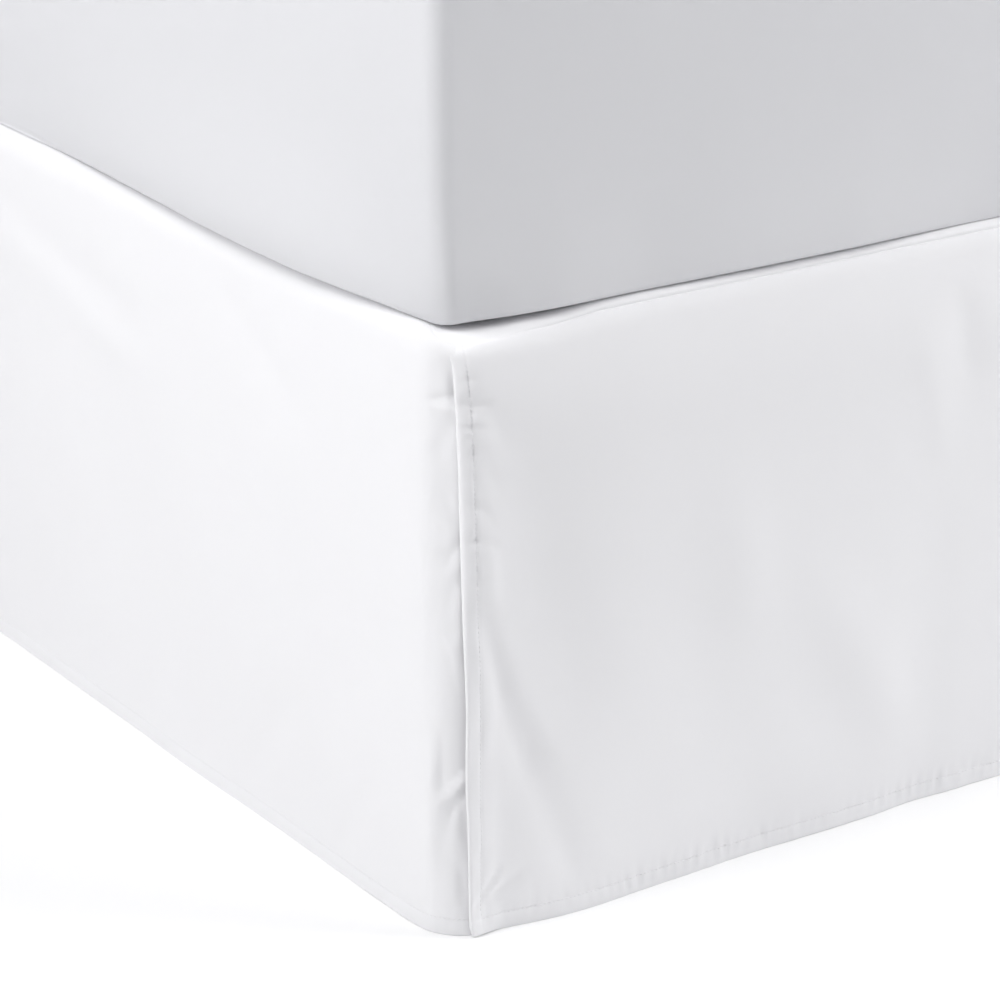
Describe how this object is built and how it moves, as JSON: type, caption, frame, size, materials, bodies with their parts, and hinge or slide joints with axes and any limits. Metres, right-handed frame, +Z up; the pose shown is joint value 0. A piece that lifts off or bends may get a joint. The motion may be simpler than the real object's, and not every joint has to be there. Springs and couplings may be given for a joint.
{
  "type": "bed skirt on a bed",
  "caption": "Flat tailored bed skirt with split foot corners, hung over the foundation of a plain bed with its mattress and steel frame.",
  "frame": {"origin": "on the floor, under the middle of the whole bed's bounding box", "axes": "+Z up, +Y towards the head of the bed, +X to the right seen from the foot; the foot drop faces -Y"},
  "size_m": [1.5503, 2.0525, 0.6963],
  "materials": {
    "skirt_cloth": "plain weave cotton, white",
    "deck_cloth": "plain weave cotton, white",
    "sheet_cloth": "plain fitted sheet, very pale grey",
    "ticking": "plain ticking, off-white",
    "black_steel": "satin black"
  },
  "bodies": {
    "root": {"foot_drop": "skirt_cloth", "side_drop_left": "skirt_cloth", "side_drop_right": "skirt_cloth", "deck": "deck_cloth", "foundation": "ticking", "mattress": "sheet_cloth", "side_rail_left": "black_steel", "side_rail_right": "black_steel", "cross_rail_1": "black_steel", "cross_rail_2": "black_steel", "cross_rail_3": "black_steel", "leg_left_1": "black_steel", "leg_left_2": "black_steel", "leg_left_3": "black_steel", "leg_right_1": "black_steel", "leg_right_2": "black_steel", "leg_right_3": "black_steel"}
  },
  "joints": []
}
